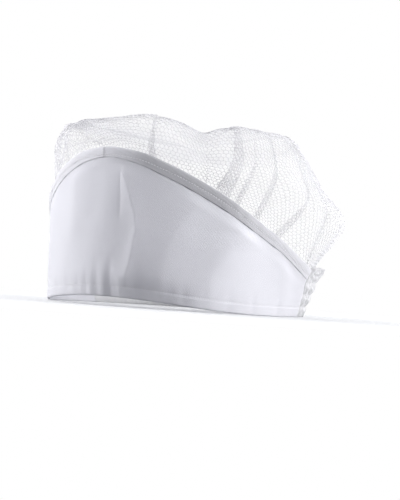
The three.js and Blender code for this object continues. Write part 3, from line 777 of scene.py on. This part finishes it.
# ------------------------------------------------------------------- stitching
def stitches(name, path, normals, length, pitch, radius, material, sink=0.35):
    """A row of stitches along a path: short rounded threads pressed into the cloth."""
    seg = np.linalg.norm(np.diff(path, axis=0), axis=1)
    run = np.concatenate([[0], np.cumsum(seg)])
    starts = np.arange(pitch * 0.5, run[-1] - pitch * 0.5, pitch)
    ring, cuts = 8, np.array([-1.0, -0.93, -0.7, -0.3, 0.3, 0.7, 0.93, 1.0])
    fat = np.array([0.02, 0.5, 0.85, 1.0, 1.0, 0.85, 0.5, 0.02])
    dip = np.array([-1.5, -0.8, -0.15, 0.05, 0.05, -0.15, -0.8, -1.5])

    def point(u, arr):
        return np.stack([np.interp(u, run, arr[:, k]) for k in range(3)], -1)
    pts, faces = [], []
    angles = np.linspace(0, 2 * np.pi, ring, endpoint=False)
    g = np.random.default_rng(len(starts))
    for n, c in enumerate(starts):
        c = c + g.normal(0, pitch * 0.02)
        p = point(c, path)
        nn = point(c, normals); nn /= np.linalg.norm(nn)
        tan = point(c + 0.4, path) - point(c - 0.4, path)
        tan /= np.linalg.norm(tan)
        b = np.cross(tan, nn); b /= np.linalg.norm(b)
        tilt = g.normal(0, 0.05)
        tan2 = tan + b * tilt
        base = len(pts) * 1
        for cut, f, dd in zip(cuts, fat, dip):
            centre = p + tan2 * cut * length / 2 + nn * (radius * (dd + 1 - sink * 1.6))
            for a in angles:
                pts.append(centre + (nn * math.cos(a) + b * math.sin(a)) * radius * f)
        m = len(cuts)
        for q in range(m - 1):
            for r in range(ring):
                r2 = (r + 1) % ring
                faces.append([base + q * ring + r, base + (q + 1) * ring + r, base + (q + 1) * ring + r2, base + q * ring + r2])
    return make(name, np.array(pts), np.array(faces), material, None)


def outward(deg):
    a = np.radians(np.asarray(deg, float))
    n = np.stack([np.sin(a) / HALF_W, -np.cos(a) / HALF_L, 0 * a], -1)
    return n / np.linalg.norm(n, axis=-1, keepdims=True)


# ------------------------------------------------------------------ build pieces
panel = front_panel()
binding = top_binding()
band = rear_band()
net_points, net_top, net_bottom, net_rim, net_cell, net_middle = net_crown()


def part_of_net(name, keep_faces, keep_rim):
    """Half of the lattice as its own piece; the halves share the threads where they meet."""
    F = np.concatenate([net_top[keep_faces], net_bottom[keep_faces], net_rim[keep_rim]])
    used, F = np.unique(F, return_inverse=True)
    return make(name, net_points[used], F.reshape(-1, 4), YARN)


cell_y = net_middle[net_cell][:, 1]
rim_y = net_points[net_rim].mean(1)[:, 1]
SPLIT_Y = 6.0
net = part_of_net("net_crown_front", cell_y < SPLIT_Y, rim_y < SPLIT_Y)
net_back = part_of_net("net_crown_back", cell_y >= SPLIT_Y, rim_y >= SPLIT_Y)

d = np.linspace(-103, 103, 900)
zh = hem(d) + HEM_STITCH
hem_out = stitches("hem_stitching", at(d, wall_out(d, zh) + PANEL_THICK / 2 + 0.05, zh), outward(d), 1.0, 1.7, 0.16, SEWING)
hem_in = stitches("hem_stitching_inside", at(d, wall_out(d, zh) - PANEL_THICK / 2 - 0.05, zh), -outward(d), 1.0, 1.7, 0.16, SEWING)
d = np.linspace(-97.4, 97.4, 900)
ze = edge(d) - BIND_STITCH
edge_out = stitches("edge_stitching", at(d, wall_out(d, ze) + PANEL_THICK / 2 + 0.06 + 0.62 - 0.15, ze), outward(d), 1.35, 2.0, 0.17, SEWING)
edge_in = stitches("edge_stitching_inside", at(d, wall_out(d, ze) - (PANEL_THICK / 2 + 0.06 + 0.62 - 0.15), ze), -outward(d), 1.35, 2.0, 0.17, SEWING)

# ------------------------------------------------------------- tie to the frame
for piece, node, slot in ((panel, "front_panel", "twill"), (binding, "top_binding", "binding"),
                          (net, "net_crown", "net"), (net_back, "net_crown", "net"), (band, "rear_band", "elastic_band")):
    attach(piece, "root")
    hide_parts(node)
for piece, slot in ((hem_out, "twill"), (hem_in, "twill"), (edge_out, "binding"), (edge_in, "binding")):
    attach(piece, "root")

# --------------------------------------------------------------------- the stage
PAPER_TONE = 0.80
PAPER_BOUNCE = 0.34
PAPER_FADE = (0.10, 0.38)   # metres from the middle of the floor


def stage_material(name, colour, rough):
    m, t, add = nodes_of(name)
    n = add("ShaderNodeTexNoise")
    n.inputs["Scale"].default_value = 3
    c = add("ShaderNodeTexCoord")
    t.links.new(c.outputs["Object"], n.inputs["Vector"])
    mix = add("ShaderNodeMix", data_type="RGBA")
    mix.inputs["A"].default_value = (*[v * PAPER_TONE * 0.99 for v in colour], 1)
    mix.inputs["B"].default_value = (*[v * PAPER_TONE for v in colour], 1)
    t.links.new(n.outputs["Fac"], mix.inputs["Factor"])
    # the paper is pale to the eye but throws little light back up
    ray = add("ShaderNodeLightPath")
    seen = add("ShaderNodeMix", data_type="RGBA")
    seen.inputs["A"].default_value = (*[v * PAPER_BOUNCE for v in colour], 1)
    t.links.new(ray.outputs["Is Camera Ray"], seen.inputs["Factor"])
    t.links.new(mix.outputs["Result"], seen.inputs["B"])
    b = add("ShaderNodeBsdfPrincipled")
    b.inputs["Roughness"].default_value = rough
    b.inputs["Specular IOR Level"].default_value = 0.1
    t.links.new(seen.outputs["Result"], b.inputs["Base Color"])
    # away from the cap the paper fades into the white backdrop
    away = add("ShaderNodeVectorMath", operation="LENGTH")
    t.links.new(c.outputs["Object"], away.inputs[0])
    fade = add("ShaderNodeMapRange", interpolation_type="SMOOTHSTEP")
    fade.inputs["From Min"].default_value = PAPER_FADE[0]
    fade.inputs["From Max"].default_value = PAPER_FADE[1]
    t.links.new(away.outputs["Value"], fade.inputs["Value"])
    share = add("ShaderNodeMath", operation="MULTIPLY")
    t.links.new(fade.outputs["Result"], share.inputs[0])
    t.links.new(ray.outputs["Is Camera Ray"], share.inputs[1])
    white = add("ShaderNodeEmission")
    white.inputs["Color"].default_value = (1, 1, 1, 1)
    both = add("ShaderNodeMixShader")
    t.links.new(share.outputs["Value"], both.inputs["Fac"])
    t.links.new(b.outputs["BSDF"], both.inputs[1])
    t.links.new(white.outputs["Emission"], both.inputs[2])
    o = add("ShaderNodeOutputMaterial")
    t.links.new(both.outputs["Shader"], o.inputs["Surface"])
    return m


PAPER = stage_material("white_paper", (0.86, 0.87, 0.88), 0.9)
AZ, ROLL, DIST, EYE = 29.0, 3.95, 1.25, 0.020


def paper_floor():
    """A round sheet of paper under the cap."""
    angle = np.linspace(0, 2 * math.pi, 96, endpoint=False)
    verts, faces = [(0.0, 0.0, 0.0)], []
    for r in (0.3, 0.8, 2.4):
        verts += [(r * math.cos(q), r * math.sin(q), 0.0) for q in angle]
    for k in range(96):
        j = (k + 1) % 96
        faces.append((0, 1 + k, 1 + j))
        for ring in (0, 1):
            lo, hi = 1 + 96 * ring, 1 + 96 * (ring + 1)
            faces.append((lo + k, hi + k, hi + j, lo + j))
    mesh = bpy.data.meshes.new("paper_floor")
    mesh.from_pydata(verts, [], faces)
    mesh.materials.append(PAPER)
    o = bpy.data.objects.new("paper_floor", mesh)
    bpy.context.scene.collection.objects.link(o)
    return o


floor = paper_floor()

FOCAL_PX = 1855.5


def camera():
    a = math.radians(AZ)
    off = np.array([-CENTRE[0] / 1000, -CENTRE[1] / 1000, 0])
    pos = np.array([math.sin(a) * DIST, -math.cos(a) * DIST, EYE])
    target = np.array([0, 0, 0.060])
    f = target - pos
    f /= np.linalg.norm(f)
    r = np.cross(f, [0, 0, 1.0]); r /= np.linalg.norm(r)
    u = np.cross(r, f)
    ro = math.radians(ROLL)
    R = r * math.cos(ro) + u * math.sin(ro)
    U = -r * math.sin(ro) + u * math.cos(ro)
    # aim so that the target falls left of and above the frame's middle, as in the photo
    aim = target + R * (18.25 / 1484) + U * (-30.4 / 1484)
    f2 = aim - pos
    f2 /= np.linalg.norm(f2)
    R2 = np.cross(f2, U); R2 /= np.linalg.norm(R2)
    U2 = np.cross(R2, f2)
    cam = bpy.data.cameras.new("camera")
    obj = bpy.data.objects.new("camera", cam)
    bpy.context.scene.collection.objects.link(obj)
    from mathutils import Matrix
    m = Matrix([[R2[0], U2[0], -f2[0], pos[0] + off[0]], [R2[1], U2[1], -f2[1], pos[1] + off[1]],
                [R2[2], U2[2], -f2[2], pos[2] + off[2]], [0, 0, 0, 1]])
    obj.matrix_world = m
    cam.sensor_fit = "VERTICAL"
    cam.sensor_height = 36.0
    cam.lens = 36.0 * FOCAL_PX / 500.0
    cam.clip_start = 0.05
    bpy.context.scene.camera = obj


camera()


def area(name, azimuth, elevation, distance, size, power, colour=(1, 1, 1)):
    a, e = math.radians(azimuth), math.radians(elevation)
    light = bpy.data.lights.new(name, "AREA")
    light.shape = "RECTANGLE"
    light.size, light.size_y = size
    light.energy = power
    light.color = colour
    o = bpy.data.objects.new(name, light)
    o.visible_camera = False
    bpy.context.scene.collection.objects.link(o)
    from mathutils import Vector
    p = Vector((math.sin(a) * math.cos(e), -math.cos(a) * math.cos(e), math.sin(e))) * distance + Vector((0, 0, 0.05))
    o.location = p
    o.rotation_euler = (Vector((0, 0, 0.06)) - p).to_track_quat("-Z", "Y").to_euler()
    return o


LIGHTS = [  # name, azimuth from the camera's side, elevation, distance, width, height, watts
    ("left_box", -86, 14, 1.6, 1.2, 1.3, 38),
    ("right_box", 76, 12, 1.6, 1.0, 1.3, 51),
    ("right_back_box", 122, 16, 1.6, 0.9, 1.3, 7.5),
    ("left_back_box", -122, 16, 1.6, 0.9, 1.3, 11),
    ("top_box", 180, 58, 1.5, 1.6, 1.2, 7),
    ("back_box", 180, 14, 1.6, 2.4, 1.5, 15),
    ("front_box", 8, 52, 1.6, 1.2, 0.8, 4.6),
]
for name, az, el, dist, w, h, watts in LIGHTS:
    area(name, AZ + az, el, dist, (w, h), watts)

world = bpy.data.worlds.new("studio")
bpy.context.scene.world = world
world.use_nodes = True
wt = world.node_tree
wt.nodes.clear()
ray = wt.nodes.new("ShaderNodeLightPath")
seen = wt.nodes.new("ShaderNodeBackground"); seen.inputs["Color"].default_value = (1, 1, 1, 1); seen.inputs["Strength"].default_value = 1.0
fill = wt.nodes.new("ShaderNodeBackground"); fill.inputs["Color"].default_value = (0.89, 0.89, 1, 1); fill.inputs["Strength"].default_value = 0.24
wmix = wt.nodes.new("ShaderNodeMixShader")
wout = wt.nodes.new("ShaderNodeOutputWorld")
wt.links.new(ray.outputs["Is Camera Ray"], wmix.inputs["Fac"])
wt.links.new(fill.outputs["Background"], wmix.inputs[1])
wt.links.new(seen.outputs["Background"], wmix.inputs[2])
wt.links.new(wmix.outputs["Shader"], wout.inputs["Surface"])
bpy.context.scene.view_settings.view_transform = "Standard"
bpy.context.scene.view_settings.look = "None"
